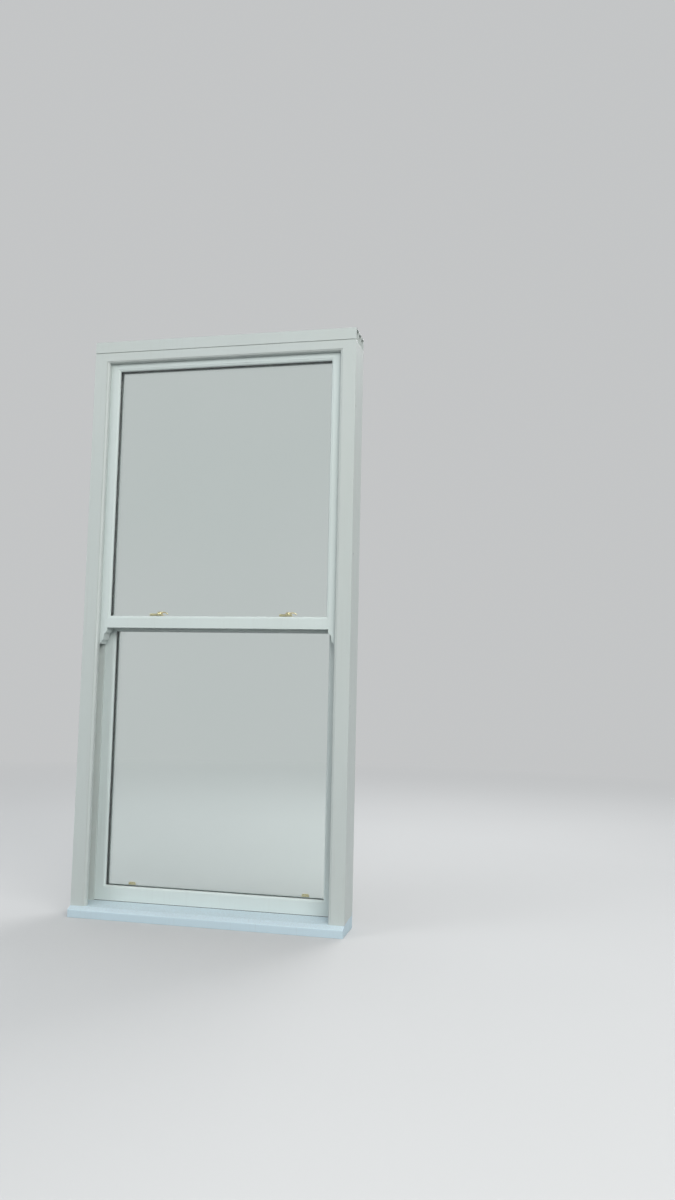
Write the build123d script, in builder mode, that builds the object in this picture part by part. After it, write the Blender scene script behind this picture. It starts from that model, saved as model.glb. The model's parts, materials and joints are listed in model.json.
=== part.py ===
from build123d import *
import os

os.makedirs("parts", exist_ok=True)

# Vertical sliding sash window, one pane over one, with its frame.
# X runs to the right seen from the street, Y runs into the building, Z is up.
# The origin is on the underside of the sill, in the plane of the frame's street face,
# half way between the jambs.  All sizes are in millimetres.

# Overall size
frame_width = 1040.0
frame_height = 2144.0
extension_height = 46.0
extension_chambers = 3

# Outer frame section
outer_leg = 20.0
parting_leg = 7.0
inner_leg = 9.0
jamb_face = 60.0
head_face = 38.0
jamb_base = 34.0
leg_reach = 56.0
frame_wall = 2.8
frame_ovolo = 10.0
frame_ovolo_depth = 8.0
ovolo_step = 1.5
joint_groove = 3.0

# Sash section
sash_depth = 48.0
sash_face_gap = 2.0
sash_side_gap = 4.0
stile_width = 58.0
sash_wall = 2.6
glazing_lip = 20.0
lip_depth = 11.0
sash_ovolo = 9.0
sash_ovolo_depth = 7.0
sash_ovolo_step = 1.0

# Heights of the sashes
sill_land = 45.0
bottom_rail_width = 57.0
inner_meeting_width = 58.0
lower_sash_top = 1121.0
meeting_rail_low = 1074.0
outer_meeting_width = 45.5
top_rail_width = 41.0
sash_travel = 900.0

# Horns under the upper stiles
horn_height = 61.0
horn_shoulder = 8.0
horn_cove = 10.5
horn_cove_height = 14.0
horn_cove_radius = 16.0
horn_waist = 14.0
horn_toe = 25.0
horn_toe_height = 15.0
horn_toe_radius = 26.0

# Glass
edge_cover = 14.0
gasket_thickness = 2.5
gasket_width = 10.0
gasket_setback = 0.5
pane_thickness = 4.0
cavity = 16.0
spacer_height = 7.0
spacer_inset = 4.0
bead_height_margin = 1.0
bead_chamfer = 3.0
mitre_gap = 0.3
block_length = 100.0
block_from_sight = 124.0

# Sill
sill_projection = 22.0
sill_fascia = 28.0
sill_at_frame_face = 38.0
sill_nose_radius = 5.0
sill_upstand = 12.0
end_cap_thickness = 3.0

# Galvanised steel inside the plastic
steel_wall = 1.5
steel_clearance = 0.4
steel_end_margin = 8.0

# Spiral balances
channel_width = 22.0
channel_mouth = 15.0
channel_depth = 23.0
channel_lip = 3.0
tube_radius = 7.5
tube_wall = 1.2
tube_shoe_gap = 6.0
tube_head_gap = 7.6
tube_plug = 18.0
rod_radius = 3.0
rod_clearance = 0.5
rod_overlap = 30.0
shoe_height = 60.0
shoe_clearance = 0.5
shoe_neck_width = 12.0
shoe_above_sash_foot = 10.0
stop_height = 30.0
stop_depth = 7.5
stop_gap = 0.3

# Brushes
brush_width = 5.0
brush_groove = 2.5
brush_from_edge = 5.0
brush_gap = 0.3

# Interlock between the two meeting rails
interlock_plate = 1.5
interlock_lip = 1.4
interlock_hook = 6.5
interlock_from_foot = 12.0
interlock_lip_height = 12.0
interlock_plate_height = 24.0
interlock_plate_below = 6.0
interlock_slack = 0.8
interlock_end_gap = 2.0

# Cam fasteners
lock_from_sight = 167.5
lock_pivot_offset = 6.0
lock_axis_from_face = 16.5
lock_plate_length = 56.0
lock_plate_width = 22.0
lock_plate_thickness = 3.0
lock_post_radius = 5.0
lock_cap_radius = 9.0
lock_cap_thickness = 3.0
lock_cap_chamfer = 1.2
hub_radius = 11.0
hub_height = 13.5
cam_clearance = 0.3
lobe_reach = 31.5
lobe_tip_radius = 7.5
lobe_thickness = 4.0
lobe_lift = 1.7
lever_reach = 34.0
lever_thickness = 4.5
lever_width = 10.0
lever_root_rise = 7.5
lever_crown_rise = 12.5
lever_tip_rise = 4.5
keeper_length = 50.0
keeper_base = 3.0
keeper_wall = 2.2
keeper_height = 12.5
keeper_margin = 0.2
keeper_corner = 4.0

# Sash lifts
lift_from_sight = 82.0
lift_plate_width = 44.0
lift_hook_width = 29.0
lift_plate_height = 18.0
lift_thickness = 2.5
lift_projection = 18.0
lift_hook_top = 107.0
lift_foot = 14.0
lift_corner = 4.0
lift_hook_corner = 6.0

# Holes for the anchors that fix the frame to the wall
anchor_radius = 4.0
anchor_from_leg = 6.0
anchor_low = 250.0
anchor_pitch = 550.0
anchor_count = 4

# Places that follow from the sizes above
outer_track = sash_depth + 2 * sash_face_gap
inner_track = outer_track
upper_front = outer_leg + sash_face_gap
upper_back = upper_front + sash_depth
parting_front = outer_leg + outer_track
parting_back = parting_front + parting_leg
inner_front = parting_back + inner_track
frame_depth = inner_front + inner_leg
lower_front = parting_back + sash_face_gap
lower_back = lower_front + sash_depth
frame_half = frame_width / 2
sash_half = frame_half - jamb_base - sash_side_gap
sight_half = sash_half - stile_width
head_squeeze = head_face / jamb_face
head_base = jamb_base * head_squeeze
upper_sash_top = frame_height - head_base - sash_side_gap
upper_sight = (sight_half, meeting_rail_low + outer_meeting_width, upper_sash_top - top_rail_width)
lower_sight = (sight_half, sill_land + bottom_rail_width, lower_sash_top - inner_meeting_width)
upper_outer = (sash_half, meeting_rail_low, upper_sash_top)
lower_outer = (sash_half, sill_land, lower_sash_top)
pane_front = lip_depth + gasket_thickness
bead_front = pane_front + 2 * pane_thickness + cavity
outer_channel_y = outer_leg + outer_track / 2
inner_channel_y = parting_back + inner_track / 2
channel_floor = jamb_base - channel_depth
balance_u = (channel_floor + jamb_base) / 2
tube_high = frame_height - head_base - tube_head_gap
tube_low = meeting_rail_low + shoe_above_sash_foot + shoe_height + tube_shoe_gap
joint_x = sight_half + sash_ovolo
rebate_x = sight_half + glazing_lip
meeting_sight = upper_sight[1]
lock_y = lower_front + lock_axis_from_face
plate_top = lower_sash_top + lock_plate_thickness
keeper_top = meeting_sight - bead_height_margin + keeper_base


def wall_plane(z):
    """Level plane for upright pieces: local x from the left wall inwards, local y into the building."""
    return Plane((-frame_half, 0, z), x_dir=(1, 0, 0), z_dir=(0, 0, 1))


def facade(y):
    """Upright plane facing the street: local x to the right, local y up."""
    return Plane((0, y, 0), x_dir=(1, 0, 0), z_dir=(0, -1, 0))


def cross_plane(x):
    """Upright plane across the wall: local x into the building, local y up."""
    return Plane((x, 0, 0), x_dir=(0, 1, 0), z_dir=(1, 0, 0))


def box_area(u_low, v_low, u_high, v_high, mode=Mode.SUBTRACT):
    """A rectangle given by its corners, cut out of the sketch unless told otherwise."""
    with Locations(((u_low + u_high) / 2, (v_low + v_high) / 2)):
        Rectangle(u_high - u_low, v_high - v_low, mode=mode)


def finish(piece, name):
    """Label a finished piece and write it."""
    piece.part.label = name
    export_step(piece.part, f"parts/{name}.step")


# Outer frame

def frame_section(squeeze):
    """Frame section with three legs; squeeze narrows it for the head, so that the mitre closes."""
    leg = jamb_face * squeeze
    base = jamb_base * squeeze
    reach = leg_reach * squeeze
    ovolo = frame_ovolo * squeeze
    wall = frame_wall
    groove = reach - brush_from_edge - brush_width
    with BuildSketch() as section:
        with BuildLine():
            Polyline((leg - ovolo, ovolo_step), (leg - ovolo, 0), (0, 0), (0, frame_depth),
                     (reach, frame_depth), (reach, inner_front), (base, inner_front),
                     (base, parting_back), (reach, parting_back), (reach, parting_front),
                     (base, parting_front), (base, outer_leg), (leg, outer_leg),
                     (leg, ovolo_step + frame_ovolo_depth))
            EllipticalCenterArc((leg - ovolo, ovolo_step + frame_ovolo_depth), ovolo,
                                frame_ovolo_depth, start_angle=270, arc_size=90)
        make_face()
        box_area(groove, outer_leg - brush_groove, groove + brush_width, outer_leg)
        box_area(groove, parting_back - brush_groove, groove + brush_width, parting_back)
        box_area(groove, inner_front, groove + brush_width, inner_front + brush_groove)
        box_area(wall, wall, groove - wall, outer_leg - wall)
        box_area(wall, outer_leg, base - wall, outer_channel_y - channel_width / 2 - wall)
        box_area(wall, outer_channel_y + channel_width / 2 + wall,
                 base - wall, inner_channel_y - channel_width / 2 - wall)
        box_area(wall, inner_channel_y + channel_width / 2 + wall, base - wall, frame_depth - wall)
        box_area(base, inner_front + wall, groove - wall, frame_depth - wall)
    return section.sketch


def balance_channel(y):
    """Lipped channel in the track's floor, with a slim chamber behind it."""
    box_area(channel_floor, y - channel_width / 2, jamb_base - channel_lip, y + channel_width / 2)
    box_area(jamb_base - channel_lip, y - channel_mouth / 2, jamb_base, y + channel_mouth / 2)
    box_area(frame_wall, y - channel_width / 2, channel_floor - frame_wall, y + channel_width / 2)


def sill_top(y):
    """Height of the sill's sloping top at a depth behind the frame's face."""
    share = min(y / parting_front, 1.0)
    return sill_at_frame_face + share * (sill_land - sill_at_frame_face)


def sill_outline():
    """Outline of the sill, from the nose over the slope and the land to the upstand."""
    with BuildSketch() as outline:
        with BuildLine():
            Polyline((-sill_projection, 0), (-sill_projection, sill_fascia), (0, sill_top(0)),
                     (parting_front, sill_land), (inner_front, sill_land),
                     (inner_front, sill_land + sill_upstand), (frame_depth, sill_land + sill_upstand),
                     (frame_depth, 0), close=True)
        make_face()
        fillet(outline.vertices().group_by(Axis.X)[0].sort_by(Axis.Y)[-1], sill_nose_radius)
    return outline.sketch


def sill_chamber(front, back):
    """One sloping chamber of the sill between two depths."""
    with BuildSketch() as chamber:
        with BuildLine():
            Polyline((front, frame_wall), (back, frame_wall), (back, sill_top(back) - frame_wall),
                     (front, sill_top(front) - frame_wall), close=True)
        make_face()
    return chamber.sketch


sill_half = frame_half - end_cap_thickness
sill_middle = outer_channel_y
with BuildPart() as sill:
    with BuildSketch(cross_plane(-sill_half)):
        add(sill_outline())
        box_area(frame_wall - sill_projection, frame_wall,
                 -frame_wall / 2, sill_fascia - frame_wall - sill_nose_radius)
        add(sill_chamber(frame_wall / 2, sill_middle), mode=Mode.SUBTRACT)
        add(sill_chamber(sill_middle + frame_wall, parting_front), mode=Mode.SUBTRACT)
        add(sill_chamber(parting_front + frame_wall, inner_front - frame_wall), mode=Mode.SUBTRACT)
        box_area(inner_front, frame_wall, frame_depth - frame_wall, sill_land + sill_upstand - frame_wall)
    extrude(amount=2 * sill_half)
finish(sill, "sill")

with BuildPart() as sill_end_caps:
    with BuildSketch(cross_plane(-frame_half)):
        add(sill_outline())
    extrude(amount=end_cap_thickness)
    mirror(about=Plane.YZ)
finish(sill_end_caps, "sill_end_caps")

# The head meets each jamb on a plane through the frame's top corner and the inner corner of the legs.
frame_mitre_left = Plane((-frame_half, 0, frame_height), x_dir=(0, 1, 0), z_dir=(head_face, 0, jamb_face))
frame_mitre_right = Plane((frame_half, 0, frame_height), x_dir=(0, 1, 0), z_dir=(-head_face, 0, jamb_face))

anchor_plane = Plane((-frame_half, outer_leg + anchor_from_leg, anchor_low), x_dir=(0, 1, 0),
                     z_dir=(1, 0, 0))

with BuildPart() as jamb_left:
    with BuildSketch(wall_plane(0)):
        add(frame_section(1))
        balance_channel(outer_channel_y)
        balance_channel(inner_channel_y)
    extrude(amount=frame_height)
    split(bisect_by=frame_mitre_left, keep=Keep.BOTTOM)
    with BuildSketch(cross_plane(-frame_half)):
        add(sill_outline())
    extrude(amount=frame_half, mode=Mode.SUBTRACT)
    # Holes for the wall anchors, in front of the outer channel
    with BuildSketch(anchor_plane):
        with Locations([(0, index * anchor_pitch) for index in range(anchor_count)]):
            Circle(anchor_radius)
    extrude(amount=jamb_base, mode=Mode.SUBTRACT)
finish(jamb_left, "jamb_left")

with BuildPart() as jamb_right:
    mirror(jamb_left.part, about=Plane.YZ)
finish(jamb_right, "jamb_right")

with BuildPart() as head:
    with BuildSketch(Plane((-frame_half, 0, frame_height), x_dir=(0, 0, -1), z_dir=(1, 0, 0))):
        add(frame_section(head_squeeze))
    extrude(amount=frame_width)
    split(bisect_by=frame_mitre_left, keep=Keep.TOP)
    split(bisect_by=frame_mitre_right, keep=Keep.TOP)
finish(head, "head")

with BuildPart() as head_extension:
    with BuildSketch(cross_plane(-frame_half)):
        box_area(0, frame_height, frame_depth, frame_height + extension_height, mode=Mode.ADD)
        box_area(0, frame_height, joint_groove, frame_height + joint_groove)
        chamber_pitch = (frame_depth - joint_groove - frame_wall) / extension_chambers
        for index in range(extension_chambers):
            front = joint_groove + frame_wall + index * chamber_pitch
            box_area(front, frame_height + frame_wall,
                     front + chamber_pitch - frame_wall, frame_height + extension_height - frame_wall)
    extrude(amount=frame_width)
finish(head_extension, "head_extension")


# Reinforcement of the outer frame

def steel_tube(u_low, v_low, u_high, v_high):
    """Rectangular steel tube that fills a chamber with a small clearance."""
    gap = steel_clearance
    box_area(u_low + gap, v_low + gap, u_high - gap, v_high - gap, mode=Mode.ADD)
    inner = gap + steel_wall
    box_area(u_low + inner, v_low + inner, u_high - inner, v_high - inner)


steel_front = outer_channel_y + channel_width / 2 + frame_wall
steel_back = inner_channel_y - channel_width / 2 - frame_wall
with BuildPart() as jamb_reinforcements:
    with BuildSketch(wall_plane(sill_land + steel_end_margin)):
        steel_tube(frame_wall, steel_front, jamb_base - frame_wall, steel_back)
    extrude(amount=frame_height - head_face - sill_land - 2 * steel_end_margin)
    mirror(about=Plane.YZ)
finish(jamb_reinforcements, "jamb_reinforcements")

with BuildPart() as head_reinforcement:
    with BuildSketch(Plane((jamb_face - frame_half, 0, frame_height), x_dir=(0, 0, -1), z_dir=(1, 0, 0))):
        steel_tube(frame_wall, steel_front, head_base - frame_wall, steel_back)
    extrude(amount=frame_width - 2 * jamb_face)
finish(head_reinforcement, "head_reinforcement")


# Brushes in the grooves of the frame's legs

brush_foot = sill_land + sill_upstand
brush_top = frame_height - head_face
brush_reach = brush_groove + sash_face_gap - brush_gap
jamb_groove = leg_reach - brush_from_edge - brush_width
head_groove = leg_reach * head_squeeze - brush_from_edge - brush_width

with BuildPart() as upper_track_brushes:
    with BuildSketch(wall_plane(brush_foot)):
        box_area(jamb_groove, outer_leg - brush_groove, jamb_groove + brush_width,
                 outer_leg - brush_groove + brush_reach, mode=Mode.ADD)
    extrude(amount=brush_top - brush_foot)
    mirror(about=Plane.YZ)
    with BuildSketch(Plane((jamb_face - frame_half, 0, frame_height), x_dir=(0, 0, -1), z_dir=(1, 0, 0))):
        box_area(head_groove, outer_leg - brush_groove, head_groove + brush_width,
                 outer_leg - brush_groove + brush_reach, mode=Mode.ADD)
    extrude(amount=frame_width - 2 * jamb_face)
finish(upper_track_brushes, "upper_track_brushes")

with BuildPart() as lower_track_brushes:
    with BuildSketch(wall_plane(brush_foot)):
        box_area(jamb_groove, parting_back - brush_groove, jamb_groove + brush_width,
                 parting_back - brush_groove + brush_reach, mode=Mode.ADD)
        box_area(jamb_groove, inner_front + brush_groove - brush_reach, jamb_groove + brush_width,
                 inner_front + brush_groove, mode=Mode.ADD)
    extrude(amount=brush_top - brush_foot)
    mirror(about=Plane.YZ)
finish(lower_track_brushes, "lower_track_brushes")


# Spiral balances

channel_u = (channel_floor + jamb_base - channel_lip) / 2
channel_clear = jamb_base - channel_lip - channel_floor


def balance_tube(side, y):
    """Tube with a guide bush at its foot and a block at its top that is held in the channel."""
    x = side * (frame_half - balance_u)
    with BuildPart() as tube:
        with BuildSketch(Plane((x, y, tube_low))):
            Circle(tube_radius)
        extrude(amount=tube_high - tube_low)
        with BuildSketch(Plane((x, y, tube_low))):
            Circle(rod_radius + rod_clearance)
        extrude(amount=tube_plug, mode=Mode.SUBTRACT)
        with BuildSketch(Plane((x, y, tube_low + tube_plug))):
            Circle(tube_radius - tube_wall)
        extrude(amount=tube_high - tube_low - 2 * tube_plug, mode=Mode.SUBTRACT)
        with BuildSketch(Plane((side * (frame_half - channel_u), y, tube_high - tube_plug))):
            Rectangle(channel_clear, channel_width)
        extrude(amount=tube_plug)
    return tube


balance_places = {"upper_left": (-1, outer_channel_y), "upper_right": (1, outer_channel_y),
                  "lower_left": (-1, inner_channel_y), "lower_right": (1, inner_channel_y)}
for place, (side, y) in balance_places.items():
    finish(balance_tube(side, y), f"balance_tube_{place}")

neck_start = channel_floor + shoe_clearance + rod_radius
neck_end = jamb_base + sash_side_gap
shoe_foot = {"upper": meeting_rail_low + shoe_above_sash_foot, "lower": sill_land + shoe_above_sash_foot}


def balance_shoe(side, y, z):
    """Sliding shoe with a neck that reaches through the channel's mouth to the stile."""
    with BuildPart() as shoe:
        with BuildSketch(Plane((side * (frame_half - channel_u), y, z))):
            Rectangle(channel_clear - 2 * shoe_clearance, channel_width - 2 * shoe_clearance)
        extrude(amount=shoe_height)
        chamfer(edges().filter_by(Axis.Y), shoe_clearance)
        with BuildSketch(Plane((side * (frame_half - (neck_start + neck_end) / 2), y, z))):
            Rectangle(neck_end - neck_start, shoe_neck_width)
        extrude(amount=shoe_height)
    return shoe


def balance_rod(side, y, z, top):
    """Spiral rod, drawn as a plain bar of its outside size."""
    with BuildPart() as rod:
        with BuildSketch(Plane((side * (frame_half - balance_u), y, z))):
            Circle(rod_radius)
        extrude(amount=top - z)
    return rod


rod_top = {"upper": tube_low + sash_travel + rod_overlap, "lower": tube_low + rod_overlap}
for place, (side, y) in balance_places.items():
    sash = place.split("_")[0]
    finish(balance_shoe(side, y, shoe_foot[sash]), f"balance_shoe_{place}")
    finish(balance_rod(side, y, shoe_foot[sash] + shoe_height, rod_top[sash]), f"balance_rod_{place}")

stop_low = {"upper": shoe_foot["upper"] - sash_travel - stop_gap - stop_height,
            "lower": shoe_foot["lower"] + shoe_height + sash_travel + stop_gap}
with BuildPart() as shoe_stops:
    for place, (side, y) in balance_places.items():
        # The stop stands on the channel's floor, behind the rod
        stop_middle = side * (frame_half - channel_floor - stop_depth / 2)
        with BuildSketch(Plane((stop_middle, y, stop_low[place.split("_")[0]]))):
            Rectangle(stop_depth, channel_width)
        extrude(amount=stop_height)
finish(shoe_stops, "shoe_stops")


# Sash members

# Depths of the front chamber, the chamber for the steel and the rear chamber
sash_chambers = ((sash_wall, lip_depth - sash_wall / 2),
                 (lip_depth + sash_wall / 2, bead_front - sash_wall),
                 (bead_front, sash_depth - sash_wall))


def sash_section(width):
    """Sash section: local x from the outer edge to the sight line, local y in from the street face."""
    body = width - glazing_lip
    arris = width - sash_ovolo
    ovolo_back = sash_ovolo_step + sash_ovolo_depth
    with BuildSketch() as section:
        with BuildLine():
            Polyline((arris, sash_ovolo_step), (arris, 0), (0, 0), (0, sash_depth), (body, sash_depth),
                     (body, lip_depth), (width, lip_depth), (width, ovolo_back))
            EllipticalCenterArc((arris, ovolo_back), sash_ovolo, sash_ovolo_depth,
                                start_angle=270, arc_size=90)
        make_face()
        for front, back in sash_chambers:
            box_area(sash_wall, front, body - sash_wall, back)
        box_area(body, sash_wall, arris - sash_wall, lip_depth - sash_wall)
    return section.sketch


def upright(y_front, x_left, z):
    return Plane((x_left, y_front, z), x_dir=(1, 0, 0), z_dir=(0, 0, 1))


def hanging(y_front, x_left, z_top):
    return Plane((x_left, y_front, z_top), x_dir=(0, 0, -1), z_dir=(1, 0, 0))


def standing(y_front, x_right, z_low):
    return Plane((x_right, y_front, z_low), x_dir=(0, 0, 1), z_dir=(-1, 0, 0))


def mitre(inner, side, level, shift=0.0):
    """Plane at 45 degrees through a corner of the sight rectangle; its normal points to the rail."""
    half, low, high = inner
    corner_z = high if level > 0 else low
    origin = (side * half - side * shift, 0, corner_z + level * shift)
    return Plane(origin, x_dir=(0, 1, 0), z_dir=(-side, 0, level))


def left_bar(section, outer, inner, y_front, mitres, shift=0.0):
    """Upright bar on the left of a rectangle, mitred where mitres says so."""
    half, low, high = outer
    with BuildPart() as bar:
        with BuildSketch(upright(y_front, -half, low)):
            add(section)
        extrude(amount=high - low)
        for level in mitres:
            split(bisect_by=mitre(inner, -1, level, -shift), keep=Keep.BOTTOM)
    return bar


def level_bar(section, outer, inner, y_front, level, shift=0.0):
    """Rail at the top or the bottom of a rectangle, mitred at both ends."""
    half, low, high = outer
    start = hanging(y_front, -half, high) if level > 0 else standing(y_front, half, low)
    with BuildPart() as bar:
        with BuildSketch(start):
            add(section)
        extrude(amount=2 * half)
        for side in (-1, 1):
            split(bisect_by=mitre(inner, side, level, shift), keep=Keep.TOP)
    return bar


def mirrored(piece):
    with BuildPart() as copy:
        mirror(piece.part, about=Plane.YZ)
    return copy


# Upper sash

upper_left = left_bar(sash_section(stile_width), upper_outer, upper_sight, upper_front, (1,))
with BuildPart() as upper_stile_left:
    add(upper_left.part)
    # The meeting rail takes the place of the stile's lip below the sight line
    with BuildSketch(facade(upper_front)):
        with BuildLine():
            Polyline((-sight_half, meeting_sight), (-joint_x, meeting_sight - sash_ovolo),
                     (-joint_x, meeting_rail_low), (-sight_half, meeting_rail_low), close=True)
        make_face()
    extrude(amount=-lip_depth, mode=Mode.SUBTRACT)
    # Horn: a short shoulder, a cove, a straight waist and a toe that rounds away
    with BuildSketch(facade(upper_front)):
        shoulder_low = meeting_rail_low - horn_shoulder
        cove_low = shoulder_low - horn_cove_height
        toe_low = meeting_rail_low - horn_height
        toe_high = toe_low + horn_toe_height
        with BuildLine():
            Polyline((-joint_x, shoulder_low), (-joint_x, meeting_rail_low), (-sash_half, meeting_rail_low),
                     (-sash_half, toe_low), (-joint_x - horn_toe, toe_low))
            RadiusArc((-joint_x - horn_toe, toe_low), (-joint_x - horn_waist, toe_high), horn_toe_radius)
            Line((-joint_x - horn_waist, toe_high), (-joint_x - horn_cove, cove_low))
            RadiusArc((-joint_x - horn_cove, cove_low), (-joint_x, shoulder_low), -horn_cove_radius)
        make_face()
    extrude(amount=-sash_depth)
finish(upper_stile_left, "upper_stile_left")
finish(mirrored(upper_stile_left), "upper_stile_right")

finish(level_bar(sash_section(top_rail_width), upper_outer, upper_sight, upper_front, 1),
       "upper_top_rail")

with BuildPart() as upper_meeting_rail:
    with BuildSketch(standing(upper_front, rebate_x, meeting_rail_low)):
        add(sash_section(outer_meeting_width))
    extrude(amount=2 * rebate_x)
    # The front of each end is cut back to the stile's lip, with the ovolo mitred
    with BuildSketch(facade(upper_front)):
        with BuildLine():
            Polyline((-rebate_x, meeting_rail_low), (-joint_x, meeting_rail_low),
                     (-joint_x, meeting_sight - sash_ovolo), (-sight_half, meeting_sight),
                     (-rebate_x, meeting_sight), close=True)
        make_face()
        mirror(about=Plane.YZ)
    extrude(amount=-lip_depth, mode=Mode.SUBTRACT)
finish(upper_meeting_rail, "upper_meeting_rail")

# Lower sash

lower_stile = left_bar(sash_section(stile_width), lower_outer, lower_sight, lower_front, (-1, 1))
finish(lower_stile, "lower_stile_left")
finish(mirrored(lower_stile), "lower_stile_right")
lower_rail = level_bar(sash_section(inner_meeting_width), lower_outer, lower_sight, lower_front, 1)
finish(lower_rail, "lower_top_rail")
lower_rail = level_bar(sash_section(bottom_rail_width), lower_outer, lower_sight, lower_front, -1)
finish(lower_rail, "lower_bottom_rail")


# Glass, gaskets and beads

def sheet(y, thickness, half, low, high):
    """A flat sheet parallel to the wall."""
    with BuildPart() as flat:
        with BuildSketch(facade(y)):
            box_area(-half, low, half, high, mode=Mode.ADD)
        extrude(amount=-thickness)
    return flat


def spacer_ring(y, half, low, high):
    """The bar that holds the panes apart, bent round the edge of the unit."""
    outer = spacer_inset
    inner = spacer_inset + spacer_height
    with BuildPart() as ring:
        with BuildSketch(facade(y)):
            box_area(outer - half, low + outer, half - outer, high - outer, mode=Mode.ADD)
            box_area(inner - half, low + inner, half - inner, high - inner)
        extrude(amount=-cavity)
    return ring


def bead_section():
    """Glazing bead: local x from the rebate's floor towards the glass, local y from the pane back."""
    height = glazing_lip - bead_height_margin
    depth = sash_depth - bead_front
    with BuildSketch() as section:
        with BuildLine():
            Polyline((0, 0), (height, 0), (height, depth - bead_chamfer),
                     (height - bead_chamfer, depth), (0, depth), close=True)
        make_face()
    return section.sketch


def gasket_section():
    """Rubber strip between the lip and the pane."""
    inner = glazing_lip - gasket_setback
    with BuildSketch() as section:
        box_area(inner - gasket_width, 0, inner, gasket_thickness, mode=Mode.ADD)
    return section.sketch


def four_bars(section, rebate, sight, y_front):
    """Four mitred strips round a rebate, kept apart by a hairline at the mitres."""
    shift = mitre_gap / 2
    left = left_bar(section, rebate, sight, y_front, (-1, 1), shift)
    low = level_bar(section, rebate, sight, y_front, -1, shift)
    high = level_bar(section, rebate, sight, y_front, 1, shift)
    with BuildPart() as strips:
        add(left.part)
        mirror(left.part, about=Plane.YZ)
        add(low.part)
        add(high.part)
    return strips


def setting_blocks(y_front, floor, top):
    """Two plastic blocks that carry the unit on the rebate's floor."""
    with BuildPart() as blocks:
        with BuildSketch(facade(y_front + pane_front)):
            for side in (-1, 1):
                middle = side * (sight_half - block_from_sight)
                box_area(middle - block_length / 2, floor, middle + block_length / 2, top, mode=Mode.ADD)
        extrude(amount=-(bead_front - pane_front))
    return blocks


for sash, y_front, sight in (("upper", upper_front, upper_sight), ("lower", lower_front, lower_sight)):
    half, low, high = sight
    pane_half = half + edge_cover
    pane_low = low - edge_cover
    pane_high = high + edge_cover
    first = y_front + pane_front
    finish(sheet(first, pane_thickness, pane_half, pane_low, pane_high), f"{sash}_outer_pane")
    finish(spacer_ring(first + pane_thickness, pane_half, pane_low, pane_high), f"{sash}_spacer")
    finish(sheet(first + pane_thickness + cavity, pane_thickness, pane_half, pane_low, pane_high),
           f"{sash}_inner_pane")
    rebate = (half + glazing_lip, low - glazing_lip, high + glazing_lip)
    finish(four_bars(bead_section(), rebate, sight, y_front + bead_front), f"{sash}_glazing_beads")
    finish(four_bars(gasket_section(), rebate, sight, y_front + lip_depth), f"{sash}_gaskets")
    finish(setting_blocks(y_front, low - glazing_lip, pane_low), f"{sash}_setting_blocks")


# Reinforcement of the sashes

def sash_steel(plane, width):
    """Steel tube in the middle chamber of a sash member, as a section on the given plane."""
    front, back = sash_chambers[1]
    with BuildSketch(plane) as section:
        steel_tube(sash_wall, front, width - glazing_lip - sash_wall, back)
    return section.sketch


stile_steel_low = meeting_rail_low + steel_end_margin
stile_steel_high = upper_sight[2] - steel_end_margin
rail_steel_half = sight_half - steel_end_margin
with BuildPart() as upper_reinforcements:
    extrude(sash_steel(upright(upper_front, -sash_half, stile_steel_low), stile_width),
            amount=stile_steel_high - stile_steel_low)
    mirror(about=Plane.YZ)
    extrude(sash_steel(standing(upper_front, rail_steel_half, meeting_rail_low), outer_meeting_width),
            amount=2 * rail_steel_half)
finish(upper_reinforcements, "upper_reinforcements")

stile_steel_low = lower_sight[1] + steel_end_margin
stile_steel_high = lower_sight[2] - steel_end_margin
with BuildPart() as lower_reinforcements:
    extrude(sash_steel(upright(lower_front, -sash_half, stile_steel_low), stile_width),
            amount=stile_steel_high - stile_steel_low)
    mirror(about=Plane.YZ)
    extrude(sash_steel(standing(lower_front, rail_steel_half, sill_land), bottom_rail_width),
            amount=2 * rail_steel_half)
    extrude(sash_steel(hanging(lower_front, -rail_steel_half, lower_sash_top), inner_meeting_width),
            amount=2 * rail_steel_half)
finish(lower_reinforcements, "lower_reinforcements")


# Interlock: a hook on each meeting rail; the two engage when both sashes are closed

interlock_half = frame_half - leg_reach - interlock_end_gap
interlock_low = meeting_rail_low + interlock_from_foot
upper_lip_front = upper_back + interlock_hook - interlock_lip
lower_lip_back = upper_lip_front - interlock_slack
web_gap = interlock_plate

with BuildPart() as upper_interlock:
    with BuildSketch(cross_plane(-interlock_half)):
        plate_low = interlock_low - interlock_plate_below
        box_area(upper_back, plate_low, upper_back + interlock_plate, plate_low + interlock_plate_height,
                 mode=Mode.ADD)
        box_area(upper_back, interlock_low, upper_back + interlock_hook, interlock_low + interlock_plate,
                 mode=Mode.ADD)
        box_area(upper_lip_front, interlock_low, upper_back + interlock_hook,
                 interlock_low + interlock_lip_height, mode=Mode.ADD)
    extrude(amount=2 * interlock_half)
finish(upper_interlock, "upper_interlock")

with BuildPart() as lower_interlock:
    lip_low = interlock_low + interlock_plate + web_gap
    lip_high = lip_low + interlock_lip_height
    with BuildSketch(cross_plane(-interlock_half)):
        box_area(lower_front - interlock_plate, lip_low, lower_front, lip_low + interlock_plate_height,
                 mode=Mode.ADD)
        box_area(lower_lip_back - interlock_lip, lip_high, lower_front, lip_high + interlock_plate,
                 mode=Mode.ADD)
        box_area(lower_lip_back - interlock_lip, lip_low, lower_lip_back, lip_high, mode=Mode.ADD)
    extrude(amount=2 * interlock_half)
finish(lower_interlock, "lower_interlock")

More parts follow.
